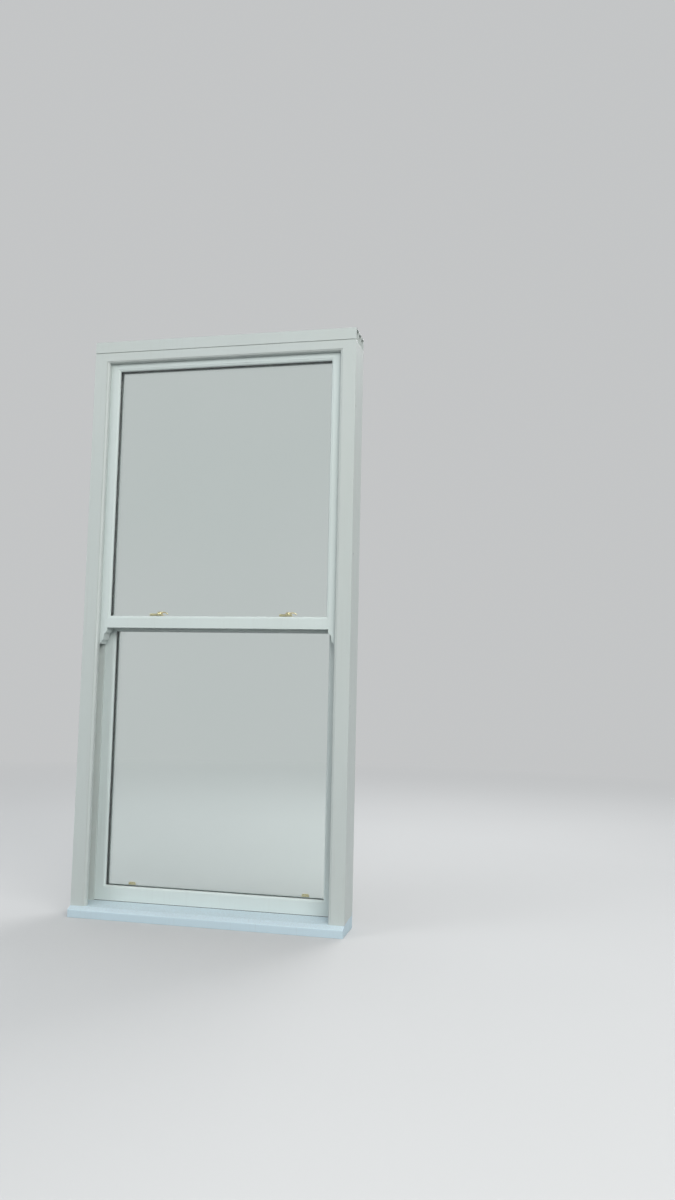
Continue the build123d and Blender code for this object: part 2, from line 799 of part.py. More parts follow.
# Brush under the bottom rail's inner edge, pressed against the sill's upstand
with BuildPart() as bottom_brush:
    with BuildSketch(facade(lower_back)):
        box_area(-rebate_x, sill_land + sash_wall, rebate_x, sill_land + sash_wall + brush_width,
                 mode=Mode.ADD)
    extrude(amount=-(sash_face_gap - brush_gap))
finish(bottom_brush, "bottom_brush")


# Cam fasteners

hub_low = plate_top + cam_clearance
hub_high = hub_low + hub_height
cap_low = hub_high + cam_clearance


lock_places = {"left": lock_pivot_offset - (sight_half - lock_from_sight),
               "right": lock_pivot_offset + (sight_half - lock_from_sight)}

# Base plates with the post that each cam turns on, and the cap that keeps it there
with BuildPart() as lock_bases:
    for x in lock_places.values():
        with BuildSketch(Plane((x, lock_y, lower_sash_top))):
            SlotOverall(lock_plate_length, lock_plate_width)
        extrude(amount=lock_plate_thickness)
        with BuildSketch(Plane((x, lock_y, plate_top))):
            Circle(lock_post_radius)
        extrude(amount=cap_low - plate_top)
        with BuildSketch(Plane((x, lock_y, cap_low))):
            Circle(lock_cap_radius)
        extrude(amount=lock_cap_thickness)
    chamfer(edges().group_by(Axis.Z)[-1], lock_cap_chamfer)
finish(lock_bases, "lock_bases")

# Plates on the upper sash's bead with a wall that the lobe hooks behind
with BuildPart() as lock_keepers:
    seat = keeper_top - keeper_base
    front = upper_front + bead_front + keeper_margin
    for x in lock_places.values():
        with BuildSketch(cross_plane(x - keeper_length / 2)):
            box_area(front, seat, upper_back - keeper_margin, seat + keeper_base, mode=Mode.ADD)
            box_area(front, seat, front + keeper_wall, seat + keeper_height, mode=Mode.ADD)
        extrude(amount=keeper_length)
    fillet(edges().filter_by(Axis.Y).group_by(Axis.Z)[-1], keeper_corner)
finish(lock_keepers, "lock_keepers")


def lock_cam(x):
    """Hub with the locking lobe towards the room and an arched lever along the rail."""
    lobe_low = hub_low + lobe_lift
    with BuildPart() as cam:
        with BuildSketch(Plane((x, lock_y, hub_low))):
            Circle(hub_radius)
        extrude(amount=hub_height)
        with BuildSketch(Plane((x, lock_y, lobe_low))):
            Circle(hub_radius)
            with Locations((0, lobe_reach - lobe_tip_radius)):
                Circle(lobe_tip_radius)
            make_hull()
        extrude(amount=lobe_thickness)
        with BuildSketch(Plane((x, lock_y, hub_low), x_dir=(1, 0, 0), z_dir=(0, -1, 0))):
            root = lock_post_radius + cam_clearance
            crown = (root + lever_reach) / 2
            with BuildLine():
                under = ThreePointArc((root, lever_root_rise), (crown, lever_crown_rise),
                                      (lever_reach, lever_tip_rise))
                over = ThreePointArc((root, lever_root_rise + lever_thickness),
                                     (crown, lever_crown_rise + lever_thickness),
                                     (lever_reach, lever_tip_rise + lever_thickness))
                Line(under @ 0, over @ 0)
                Line(under @ 1, over @ 1)
            make_face()
        extrude(amount=lever_width / 2, both=True)
        with BuildSketch(Plane((x, lock_y, hub_low))):
            Circle(lock_post_radius + cam_clearance)
        extrude(amount=hub_height, mode=Mode.SUBTRACT)
        with BuildSketch(Plane((x, lock_y, hub_high))):
            Circle(lock_cap_radius + cam_clearance)
        extrude(amount=hub_height, mode=Mode.SUBTRACT)
    return cam


for name, x in lock_places.items():
    finish(lock_cam(x), f"lock_cam_{name}")


# Sash lifts on the room side of the bottom rail.
# Each is a plate whose foot turns out and up into a finger hook
with BuildPart() as sash_lifts:
    foot = sill_land + lift_foot
    root = lower_back + (lift_projection - lift_thickness) / 2
    hook_front = lower_back + lift_projection - lift_thickness
    hook_back = lower_back + lift_projection
    hook_low = foot + lift_projection - lift_thickness
    for side in (-1, 1):
        x = side * (sight_half - lift_from_sight)
        with BuildSketch(facade(lower_back)):
            with Locations((x, foot + lift_plate_height / 2)):
                RectangleRounded(lift_plate_width, lift_plate_height, lift_corner)
        extrude(amount=-lift_thickness)
        with BuildSketch(cross_plane(x - lift_hook_width / 2)):
            with BuildLine():
                Line((lower_back, foot), (root, foot))
                TangentArc((root, foot), (hook_back, hook_low), tangent=(1, 0))
                Line((hook_back, hook_low), (hook_back + lift_thickness, lift_hook_top))
                Line((hook_back + lift_thickness, lift_hook_top), (hook_back, lift_hook_top))
                Line((hook_back, lift_hook_top), (hook_front, hook_low))
                TangentArc((hook_front, hook_low), (root, foot + lift_thickness), tangent=(0, -1))
                Line((root, foot + lift_thickness), (lower_back, foot + lift_thickness))
                Line((lower_back, foot + lift_thickness), (lower_back, foot))
            make_face()
        extrude(amount=lift_hook_width)
    fillet(edges().filter_by(Axis.Y).group_by(Axis.Z)[-1], lift_hook_corner)
finish(sash_lifts, "sash_lifts")
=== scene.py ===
import bpy
import bmesh
import json
import math
from mathutils import Matrix, Vector


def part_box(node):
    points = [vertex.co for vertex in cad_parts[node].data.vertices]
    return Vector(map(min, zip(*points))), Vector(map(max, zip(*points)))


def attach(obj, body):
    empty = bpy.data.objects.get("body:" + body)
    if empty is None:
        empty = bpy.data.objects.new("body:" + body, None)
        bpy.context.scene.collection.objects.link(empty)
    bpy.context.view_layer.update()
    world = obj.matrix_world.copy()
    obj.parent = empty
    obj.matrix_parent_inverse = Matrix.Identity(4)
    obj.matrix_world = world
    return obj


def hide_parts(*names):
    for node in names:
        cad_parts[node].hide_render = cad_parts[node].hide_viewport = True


# Sash window with its frame: looks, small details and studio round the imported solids.
# Metres; X runs right seen from the street, Y into the building, Z up.

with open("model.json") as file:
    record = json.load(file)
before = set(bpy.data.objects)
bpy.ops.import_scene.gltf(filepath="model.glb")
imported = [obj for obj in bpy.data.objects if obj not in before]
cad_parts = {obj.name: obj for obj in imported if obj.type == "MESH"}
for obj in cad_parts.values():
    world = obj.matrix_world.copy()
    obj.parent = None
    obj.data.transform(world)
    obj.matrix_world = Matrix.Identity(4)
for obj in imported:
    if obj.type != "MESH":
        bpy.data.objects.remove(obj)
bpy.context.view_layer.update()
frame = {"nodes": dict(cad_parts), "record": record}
nodes = frame["nodes"]
scene = bpy.context.scene
MM = 0.001
scene.view_settings.view_transform = "Standard"


# Camera, at the photograph's viewing angle

# Metres; degrees, negative to the left and upwards; millimetres
CAMERA_PLACE = (1.204, -3.328, 0.865)
CAMERA_TURN = (-12.43, -5.26, 1.26)
CAMERA_LENS = 28.5
CAMERA_SENSOR = 36.0


def add_camera():
    """Camera on the street's side, turned to the left, a little upwards and a little askew."""
    yaw, pitch, roll = (math.radians(angle) for angle in CAMERA_TURN)
    turn = Matrix.Rotation(roll, 3, "Z") @ Matrix.Rotation(pitch, 3, "X")
    look = turn @ Matrix(((1, 0, 0), (0, 0, -1), (0, 1, 0))) @ Matrix.Rotation(yaw, 3, "Z")
    data = bpy.data.cameras.new("camera")
    data.lens = CAMERA_LENS
    data.sensor_width = CAMERA_SENSOR
    data.clip_start = 0.05
    camera = bpy.data.objects.new("camera", data)
    scene.collection.objects.link(camera)
    columns = Matrix((look[0], -look[1], -look[2])).transposed().to_4x4()
    camera.matrix_world = Matrix.Translation(CAMERA_PLACE) @ columns
    scene.camera = camera


add_camera()


# Node helpers

class Shader:
    """Short way to write a material's nodes."""

    def __init__(self, name):
        self.material = bpy.data.materials.new(name)
        self.material.use_nodes = True
        self.tree = self.material.node_tree
        self.bsdf = self.tree.nodes["Principled BSDF"]
        self.coordinates = self.tree.nodes.new("ShaderNodeTexCoord").outputs["Object"]

    def node(self, kind, **values):
        made = self.tree.nodes.new(kind)
        for key, value in values.items():
            setattr(made, key, value)
        return made

    def link(self, source, target):
        self.tree.links.new(source, target)

    def put(self, socket, value):
        """Links a socket, or sets a plain number or colour."""
        if isinstance(value, bpy.types.NodeSocket):
            self.link(value, socket)
        else:
            socket.default_value = value

    def set(self, **values):
        for key, value in values.items():
            self.put(self.bsdf.inputs[key.replace("_", " ")], value)

    def scaled(self, x, y, z):
        """The object's coordinates, in metres, times a factor on each axis."""
        mapping = self.node("ShaderNodeMapping")
        mapping.inputs["Scale"].default_value = (x, y, z)
        self.link(self.coordinates, mapping.inputs["Vector"])
        return mapping.outputs["Vector"]

    def noise(self, scale, detail=3.0, roughness=0.5, vector=None, distortion=0.0):
        made = self.node("ShaderNodeTexNoise")
        made.inputs["Scale"].default_value = scale
        made.inputs["Detail"].default_value = detail
        made.inputs["Roughness"].default_value = roughness
        made.inputs["Distortion"].default_value = distortion
        self.link(vector or self.coordinates, made.inputs["Vector"])
        return made.outputs["Fac"]

    def cells(self, scale, vector=None, feature="F1"):
        made = self.node("ShaderNodeTexVoronoi", feature=feature)
        made.inputs["Scale"].default_value = scale
        self.link(vector or self.coordinates, made.inputs["Vector"])
        return made.outputs["Distance"]

    def remap(self, value, low, high, to_low=0.0, to_high=1.0):
        made = self.node("ShaderNodeMapRange")
        self.link(value, made.inputs["Value"])
        for key, number in zip(("From Min", "From Max", "To Min", "To Max"), (low, high, to_low, to_high)):
            made.inputs[key].default_value = number
        return made.outputs["Result"]

    def math(self, operation, a, b=0.0):
        made = self.node("ShaderNodeMath", operation=operation)
        self.put(made.inputs[0], a)
        self.put(made.inputs[1], b)
        return made.outputs["Value"]

    def mix(self, factor, a, b):
        made = self.node("ShaderNodeMix", data_type="RGBA")
        self.put(made.inputs[0], factor)
        self.put(made.inputs[6], a)
        self.put(made.inputs[7], b)
        return made.outputs[2]

    def axis(self, name, source=None):
        made = self.node("ShaderNodeSeparateXYZ")
        self.link(source or self.coordinates, made.inputs["Vector"])
        return made.outputs[name]

    def upward(self):
        """How far the surface faces up, from -1 to 1."""
        geometry = self.node("ShaderNodeNewGeometry")
        return self.axis("Z", geometry.outputs["Normal"])

    def hollows(self, reach):
        """0 in the open, 1 deep in a corner of the same piece."""
        made = self.node("ShaderNodeAmbientOcclusion", samples=4, only_local=True)
        made.inputs["Distance"].default_value = reach
        return self.remap(made.outputs["AO"], 0.45, 0.95, 1.0, 0.0)

    def relief(self, height, distance, edge=0.0):
        """Bump from a height, over edges rounded by the given radius."""
        bump = self.node("ShaderNodeBump")
        bump.inputs["Distance"].default_value = distance
        bump.inputs["Strength"].default_value = 1.0
        self.link(height, bump.inputs["Height"])
        if edge:
            soft = self.node("ShaderNodeBevel", samples=4)
            soft.inputs["Radius"].default_value = edge
            self.link(soft.outputs["Normal"], bump.inputs["Normal"])
        self.link(bump.outputs["Normal"], self.bsdf.inputs["Normal"])


def rgb(red, green, blue):
    return (red, green, blue, 1.0)


def extruded_plastic(name, colour, along, soil_and_shade=1.0):
    """White extruded plastic: die lines along the bar, slight waves, dust, painted shade in corners, rain marks and
    small specks.
    """
    m = Shader(name)
    pale = tuple(min(1.0, c * 1.03) for c in colour)
    warm = (colour[0] * 0.97, colour[1] * 0.955, colour[2] * 0.92)
    tone = m.mix(m.remap(m.noise(3.2, 4.0), 0.35, 0.65), rgb(*colour), rgb(*pale))
    tone = m.mix(m.remap(m.noise(1.3, 2.0, vector=m.scaled(1.0, 1.0, 0.6)), 0.42, 0.68, 0.0, 0.5), tone, rgb(*warm))
    # Rain marks run down in thin streaks
    streaks = m.noise(1.0, 5.0, 0.6, m.scaled(95.0, 95.0, 3.2))
    streaks = m.remap(streaks, 0.56, 0.78, 0.0, 0.16 * soil_and_shade)
    grime = rgb(0.40, 0.40, 0.37)
    tone = m.mix(streaks, tone, grime)
    # Dust gathers on what faces up; corners of the same piece are darkened as dust and painted shade
    speckle = m.noise(210.0, 4.0, 0.7)
    ledge = m.math("MULTIPLY", m.remap(m.upward(), 0.2, 1.0), m.remap(speckle, 0.40, 0.75, 0.05, 0.35 * soil_and_shade))
    # Painted shade: an occlusion mask darkens the piece's own corners, mixed with dust
    corner = m.math("MULTIPLY", m.hollows(0.012), m.remap(m.noise(38.0, 4.0), 0.3, 0.7, 0.10, 0.42 * soil_and_shade))
    tone = m.mix(m.math("MAXIMUM", ledge, corner), tone, rgb(0.42, 0.41, 0.375))
    # Small scuffs and specks
    specks = m.remap(m.cells(120.0), 0.02, 0.07, 0.30 * soil_and_shade, 0.0)
    specks = m.math("MULTIPLY", specks, m.remap(m.noise(16.0, 2.0), 0.52, 0.62))
    tone = m.mix(specks, tone, rgb(0.33, 0.32, 0.30))
    stretch = {"X": (0.6, 900.0, 900.0), "Z": (900.0, 900.0, 0.6)}[along]
    lines = m.noise(1.0, 2.0, 0.6, m.scaled(*stretch))
    waves = m.noise(26.0, 2.0)
    grain = m.noise(1400.0, 2.0)
    height = m.math("ADD", m.math("MULTIPLY", lines, 0.20), m.math("MULTIPLY", waves, 1.1))
    height = m.math("ADD", height, m.math("MULTIPLY", grain, 0.12))
    m.relief(height, 0.00022, 0.0007)
    rough = m.remap(m.noise(12.0, 5.0, 0.6), 0.3, 0.7, 0.40, 0.52)
    rough = m.math("ADD", rough, m.math("MULTIPLY", ledge, 0.6))
    m.set(Base_Color=tone, Roughness=rough, IOR=1.53)
    m.bsdf.inputs["Coat Weight"].default_value = 0.05
    m.bsdf.inputs["Coat Roughness"].default_value = 0.25
    m.bsdf.inputs["Subsurface Weight"].default_value = 0.04
    m.bsdf.inputs["Subsurface Radius"].default_value = (0.004, 0.004, 0.004)
    return m.material


def moulded_plastic(name, colour, dark):
    """Matt moulded plastic with a fine spark-eroded grain, handling marks and painted shade in its hollows."""
    m = Shader(name)
    tone = m.mix(m.remap(m.noise(34.0, 4.0), 0.35, 0.7), rgb(*colour), rgb(*dark))
    # Painted shade: an occlusion mask darkens the piece's own hollows
    tone = m.mix(m.math("MULTIPLY", m.hollows(0.006), 0.5), tone, rgb(*(c * 0.45 for c in dark)))
    scuffs = m.remap(m.noise(1.0, 4.0, 0.7, m.scaled(60.0, 60.0, 900.0)), 0.60, 0.72, 0.0, 0.35)
    tone = m.mix(scuffs, tone, rgb(*(min(1.0, c * 1.12 + 0.03) for c in colour)))
    height = m.math("ADD", m.noise(1500.0, 3.0), m.math("MULTIPLY", m.noise(60.0, 2.0), 0.8))
    m.relief(height, 0.0002, 0.0005)
    m.set(Base_Color=tone, Roughness=m.remap(m.noise(55.0, 4.0), 0.3, 0.7, 0.44, 0.62))
    return m.material


def glazing_rubber():
    """Black glazing rubber: matt, dusty, with fine ribs along the strip."""
    m = Shader("glazing_rubber")
    dusty = m.remap(m.noise(45.0, 5.0, 0.65), 0.42, 0.75, 0.0, 0.5)
    tone = m.mix(dusty, rgb(0.016, 0.016, 0.018), rgb(0.075, 0.073, 0.068))
    ribs = m.noise(1.0, 2.0, 0.5, m.scaled(600.0, 600.0, 600.0))
    m.relief(m.math("ADD", ribs, m.noise(2200.0, 2.0)), 0.00018, 0.0004)
    m.set(Base_Color=tone, Roughness=m.remap(m.noise(80.0, 3.0), 0.3, 0.7, 0.52, 0.74))
    return m.material


def warm_edge():
    """Dark spacer bar with a row of small pierced dots and a sealant sheen."""
    m = Shader("warm_edge_spacer")
    dots = m.remap(m.cells(330.0), 0.10, 0.22, 1.0, 0.0)
    tone = m.mix(dots, rgb(0.045, 0.045, 0.05), rgb(0.012, 0.012, 0.013))
    tone = m.mix(m.remap(m.noise(24.0, 3.0), 0.45, 0.7, 0.0, 0.5), tone, rgb(0.085, 0.085, 0.09))
    m.relief(m.math("SUBTRACT", m.noise(400.0, 2.0), dots), 0.0003, 0.0004)
    m.set(Base_Color=tone, Roughness=m.remap(m.noise(90.0, 3.0), 0.3, 0.7, 0.34, 0.55))
    return m.material


def float_glass():
    """Clear float glass with a faint green body, thin dust and old wipe marks."""
    m = Shader("float_glass")
    wipes = m.noise(1.0, 4.0, 0.6, m.scaled(14.0, 14.0, 5.0), 0.6)
    film = m.remap(wipes, 0.45, 0.8, 0.004, 0.045)
    spots = m.remap(m.cells(85.0), 0.015, 0.05, 0.10, 0.0)
    spots = m.math("MULTIPLY", spots, m.remap(m.noise(7.0, 3.0), 0.45, 0.65))
    tone = m.mix(m.remap(m.noise(0.9, 2.0), 0.3, 0.7), rgb(0.925, 0.965, 0.95), rgb(0.945, 0.975, 0.965))
    m.relief(m.noise(5.0, 1.0), 0.00035)
    m.set(Base_Color=tone, Roughness=m.math("ADD", film, spots), IOR=1.52)
    m.bsdf.inputs["Transmission Weight"].default_value = 1.0
    return m.material


def polished_brass():
    """Lacquered brass: warm, bright, with fine brushing and duller recesses."""
    m = Shader("polished_brass")
    tarnish = m.math("MULTIPLY", m.hollows(0.004), 0.75)
    tarnish = m.math("MAXIMUM", tarnish, m.remap(m.noise(70.0, 4.0, 0.6), 0.5, 0.8, 0.0, 0.45))
    tone = m.mix(tarnish, rgb(0.94, 0.77, 0.43), rgb(0.60, 0.41, 0.17))
    fine = m.noise(1.0, 3.0, 0.6, m.scaled(300.0, 2600.0, 2600.0))
    m.relief(m.math("ADD", fine, m.math("MULTIPLY", m.noise(120.0, 2.0), 2.0)), 0.00006, 0.0005)
    m.set(Base_Color=tone, Roughness=m.remap(m.noise(150.0, 4.0), 0.3, 0.7, 0.22, 0.40))
    m.bsdf.inputs["Metallic"].default_value = 1.0
    return m.material


def galvanised():
    """Hot-dip spangle with roll lines."""
    m = Shader("galvanised_sheet")
    spangle = m.node("ShaderNodeTexVoronoi")
    spangle.inputs["Scale"].default_value = 90.0
    m.link(m.coordinates, spangle.inputs["Vector"])
    shade = m.axis("X", spangle.outputs["Color"])
    tone = m.mix(shade, rgb(0.46, 0.48, 0.50), rgb(0.66, 0.68, 0.70))
    tone = m.mix(m.remap(m.noise(9.0, 5.0, 0.7), 0.55, 0.75, 0.0, 0.5), tone, rgb(0.74, 0.74, 0.72))
    m.relief(m.noise(1.0, 2.0, 0.6, m.scaled(4.0, 1500.0, 1500.0)), 0.00008, 0.0006)
    m.set(Base_Color=tone, Roughness=m.remap(shade, 0.0, 1.0, 0.30, 0.52))
    m.bsdf.inputs["Metallic"].default_value = 0.9
    return m.material


def plated_steel():
    """Zinc-plated rod with a thin film of grease."""
    m = Shader("plated_rod")
    worn = m.remap(m.noise(1.0, 4.0, 0.7, m.scaled(500.0, 500.0, 40.0)), 0.45, 0.75)
    tone = m.mix(worn, rgb(0.50, 0.51, 0.52), rgb(0.30, 0.29, 0.26))
    m.relief(m.noise(1.0, 2.0, 0.5, m.scaled(1800.0, 1800.0, 200.0)), 0.00008, 0.0003)
    m.set(Base_Color=tone, Roughness=m.remap(m.noise(220.0, 3.0), 0.3, 0.7, 0.20, 0.42))
    m.bsdf.inputs["Metallic"].default_value = 1.0
    return m.material


def brush_pile():
    """Grey woven pile: thin upright fibres, lighter at the tips and dusty."""
    m = Shader("brush_pile")
    fibres = m.noise(1.0, 3.0, 0.7, m.scaled(2600.0, 260.0, 2600.0))
    tone = m.mix(m.remap(fibres, 0.35, 0.7), rgb(0.13, 0.135, 0.14), rgb(0.34, 0.345, 0.35))
    tone = m.mix(m.remap(m.noise(30.0, 4.0), 0.5, 0.75, 0.0, 0.5), tone, rgb(0.42, 0.40, 0.37))
    m.relief(fibres, 0.0009)
    m.set(Base_Color=tone, Roughness=0.95)
    m.bsdf.inputs["Sheen Weight"].default_value = 0.4
    return m.material


# The three whites as the photograph's daylight shows them; sill a little bluer, frame a little greyer
# Painted light: one white plastic in three tones, the frame's grey being painted shade and the sill's blue painted
# sky light
FRAME_WHITE = (0.545, 0.596, 0.576)
SASH_WHITE = (0.640, 0.716, 0.698)
SILL_WHITE = (0.575, 0.712, 0.778)

finishes = {
    "frame_upright": extruded_plastic("frame_plastic_upright", FRAME_WHITE, "Z"),
    "frame_level": extruded_plastic("frame_plastic_level", FRAME_WHITE, "X"),
    "sash_upright": extruded_plastic("sash_plastic_upright", SASH_WHITE, "Z", 0.8),
    "sash_level": extruded_plastic("sash_plastic_level", SASH_WHITE, "X", 0.8),
    "sill_level": extruded_plastic("sill_plastic_level", SILL_WHITE, "X", 1.4),
    "sill_cap": moulded_plastic("sill_cap_plastic", SILL_WHITE, tuple(c * 0.94 for c in SILL_WHITE)),
    "channel_plastic": moulded_plastic("channel_plastic", (0.60, 0.61, 0.60), (0.52, 0.52, 0.50)),
    "tube_plastic": moulded_plastic("tube_plastic", (0.50, 0.51, 0.51), (0.43, 0.43, 0.42)),
    "block_plastic": moulded_plastic("packer_plastic", (0.06, 0.12, 0.22), (0.04, 0.08, 0.16)),
    "brush_pile": brush_pile(),
    "gasket_rubber": glazing_rubber(),
    "spacer_bar": warm_edge(),
    "glass": float_glass(),
    "galvanised_steel": galvanised(),
    "rod_steel": plated_steel(),
    "hardware_brass": polished_brass(),
}

slot_of = {part["node"]: part["material_slot"] for part in frame["record"]["subparts"]}
UPRIGHT = ("jamb", "stile")


def finish_of(name):
    """The finish of a node, after its slot and the way its bar runs."""
    slot = slot_of[name]
    runs = "upright" if any(word in name for word in UPRIGHT) else "level"
    if slot == "sill_plastic":
        return finishes["sill_cap" if "cap" in name else "sill_level"]
    if slot in ("frame_plastic", "sash_plastic"):
        return finishes[f"{slot.split('_')[0]}_{runs}"]
    return finishes[slot]


def dress(thing, material):
    """Gives an object one material."""
    thing.data.materials.clear()
    thing.data.materials.append(material)


for name, thing in nodes.items():
    dress(thing, finish_of(name))


# Mesh helpers

def add_piece(name, build, body, material, sharp=35.0, replaced=()):
    """Turns a bmesh into a piece that rides on a body, smooth but for edges sharper than an angle."""
    bmesh.ops.remove_doubles(build, verts=build.verts, dist=1e-7)
    bmesh.ops.recalc_face_normals(build, faces=build.faces)
    for face in build.faces:
        face.smooth = True
    for edge in build.edges:
        edge.smooth = len(edge.link_faces) == 2 and edge.calc_face_angle() < math.radians(sharp)
    mesh = bpy.data.meshes.new(name)
    build.to_mesh(mesh)
    build.free()
    piece = bpy.data.objects.new(name, mesh)
    scene.collection.objects.link(piece)
    dress(piece, material)
    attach(piece, body)
    if replaced:
        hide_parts(*replaced)


def loft(build, rings, closed=False):
    """Skins a row of point rings; the ends are filled unless the row closes on itself."""
    made = [[build.verts.new(point) for point in ring] for ring in rings]
    pairs = list(zip(made, made[1:]))
    if closed:
        pairs.append((made[-1], made[0]))
    for near, far in pairs:
        for index in range(len(near)):
            after = (index + 1) % len(near)
            build.faces.new((near[index], near[after], far[after], far[index]))
    if not closed:
        build.faces.new(list(reversed(made[0])))
        build.faces.new(made[-1])


def lathe(build, profile, centre, segments=40, closed=False):
    """Turns (radius, height) points round an upright axis."""
    rings = []
    for radius, height in profile:
        ring = []
        for index in range(segments):
            angle = 2 * math.pi * index / segments
            ring.append((centre[0] + radius * math.cos(angle), centre[1] + radius * math.sin(angle),
                         centre[2] + height))
        rings.append(ring)
    loft(build, rings, closed)


def place_copy(build, part, place, facing, turn=0.0):
    """Adds a bmesh made round the Z axis to another, moved to a place and facing a direction; uses it up."""
    aim = Vector(facing).to_track_quat("Z", "Y").to_matrix().to_4x4()
    part.transform(Matrix.Translation(place) @ aim @ Matrix.Rotation(turn, 4, "Z"))
    holder = bpy.data.meshes.new("holder")
    part.to_mesh(holder)
    part.free()
    build.from_mesh(holder)
    bpy.data.meshes.remove(holder)


def rounded(width, depth, corner, steps):
    """Outline of a rectangle with round corners, round the origin."""
    points = []
    for turn, (sx, sy) in enumerate(((1, 1), (-1, 1), (-1, -1), (1, -1))):
        cx, cy = sx * (width / 2 - corner), sy * (depth / 2 - corner)
        for step in range(steps + 1):
            angle = math.pi / 2 * (turn + step / steps)
            points.append((cx + corner * math.cos(angle), cy + corner * math.sin(angle)))
    return points


def softened(name, node, width, body):
    """A copy of a brass node whose sharp edges are rounded, in place of the node."""
    build = bmesh.new()
    build.from_mesh(nodes[node].data)
    bmesh.ops.remove_doubles(build, verts=build.verts, dist=1e-6)
    bmesh.ops.dissolve_limit(build, angle_limit=math.radians(0.5), verts=build.verts, edges=build.edges)
    crisp = [edge for edge in build.edges
             if len(edge.link_faces) == 2 and edge.calc_face_angle() > math.radians(30)]
    bmesh.ops.bevel(build, geom=crisp, offset=width, segments=3, affect="EDGES", profile=0.5,
                    clamp_overlap=True)
    add_piece(name, build, body, finishes["hardware_brass"], 32.0, (node,))


# Small screws

SCREW_SINK = 0.4 * MM
SCREW_RIM = 0.15 * MM
SCREW_SLOT_WIDTH = 0.9 * MM
SCREW_SLOT_DEPTH = 0.75 * MM
SCREW_SEGMENTS = 28
SCREW_DOME_STEPS = 5


def screw_head(build, place, facing, radius, rise, slot_turn):
    """Raised head with a slot; facing is the direction that the head looks."""
    head = bmesh.new()
    profile = [(radius, -SCREW_SINK), (radius, SCREW_RIM)]
    for index in range(1, SCREW_DOME_STEPS + 1):
        angle = math.pi / 2 * index / (SCREW_DOME_STEPS + 1)
        profile.append((radius * math.cos(angle), SCREW_RIM + (rise - SCREW_RIM) * math.sin(angle)))
    lathe(head, profile, (0, 0, 0), SCREW_SEGMENTS)
    cutter = bmesh.new()
    bmesh.ops.create_cube(cutter, size=1.0)
    bmesh.ops.scale(cutter, vec=(radius * 2.4, SCREW_SLOT_WIDTH, rise * 2), verts=cutter.verts)
    bmesh.ops.translate(cutter, vec=(0, 0, rise * 2 - SCREW_SLOT_DEPTH), verts=cutter.verts)
    place_copy(build, difference(head, cutter), place, facing, slot_turn)


def difference(first, second):
    """The first bmesh with the second cut away, as a new bmesh; both given ones are used up."""
    objects = []
    for build in (first, second):
        mesh = bpy.data.meshes.new("operand")
        bmesh.ops.recalc_face_normals(build, faces=build.faces)
        build.to_mesh(mesh)
        build.free()
        thing = bpy.data.objects.new("operand", mesh)
        scene.collection.objects.link(thing)
        objects.append(thing)
    modifier = objects[0].modifiers.new("cut", "BOOLEAN")
    modifier.operation = "DIFFERENCE"
    modifier.solver = "EXACT"
    modifier.object = objects[1]
    bpy.context.view_layer.update()
    result = bmesh.new()
    result.from_object(objects[0], bpy.context.evaluated_depsgraph_get())
    for thing in objects:
        mesh = thing.data
        bpy.data.objects.remove(thing)
        bpy.data.meshes.remove(mesh)
    return result


# Cam fasteners

PLATE_LENGTH = 56 * MM
PLATE_WIDTH = 22 * MM
PLATE_THICKNESS = 3 * MM
# Insets and heights of the plate's rounded rim, in millimetres
PLATE_RIM = ((0.25, 0.0), (0.0, 0.25), (0.0, 1.9), (0.22, 2.45), (0.75, 2.85), (1.4, 3.0))
POST_RADIUS = 5 * MM
POST_CLEARANCE = 0.3 * MM
DOME_THICKNESS = 3 * MM
# Radii and heights of the domed cap with its small centre mark, in millimetres
DOME_PROFILE = ((0.5, 0.0), (8.6, 0.0), (9.0, 0.4), (9.0, 1.1), (8.5, 1.8), (7.4, 2.3), (5.6, 2.7),
                (3.4, 2.93), (1.6, 3.0), (1.2, 2.8), (0.4, 2.7))
HUB_RADIUS = 11 * MM
LOBE_REACH = 31.5 * MM
LOBE_NOSE = 7.5 * MM
LOBE_LIFT = 1.7 * MM
# Insets and heights of the lobe's soft edges, in millimetres
LOBE_RIM = ((0.6, 0.0), (0.15, 0.2), (0.0, 0.65), (0.0, 3.35), (0.15, 3.8), (0.6, 4.0))
LEVER_ROOT = 8.0 * MM
LEVER_LENGTH = 25.2 * MM
LEVER_LOW = 6.6 * MM
LEVER_ARCH = 8.1 * MM
LEVER_STATIONS = 22

BRASS = finishes["hardware_brass"]
bases_low, bases_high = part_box("lock_bases")
sash_top = bases_low.z
lock_y = (bases_low.y + bases_high.y) / 2
plate_top = sash_top + PLATE_THICKNESS
dome_low = bases_high.z - DOME_THICKNESS
lock_x = {"left": bases_low.x + PLATE_LENGTH / 2, "right": bases_high.x - PLATE_LENGTH / 2}


def lock_bases():
    """Plates, posts and domed caps of both fasteners."""
    build = bmesh.new()
    for x in lock_x.values():
        rings = []
        for inset, z in PLATE_RIM:
            less = inset * MM
            outline = rounded(PLATE_LENGTH - 2 * less, PLATE_WIDTH - 2 * less, PLATE_WIDTH / 2 - less, 12)
            rings.append([(x + u, lock_y + v, sash_top + z * MM) for u, v in outline])
        loft(build, rings)
        post = [(POST_RADIUS, PLATE_THICKNESS - 0.2 * MM), (POST_RADIUS, dome_low - sash_top)]
        lathe(build, post, (x, lock_y, sash_top), 32)
        lathe(build, [(radius * MM, z * MM) for radius, z in DOME_PROFILE], (x, lock_y, dome_low), 44)
    add_piece("lock_plates_and_posts", build, "lower_sash", BRASS, 35.0, ("lock_bases",))


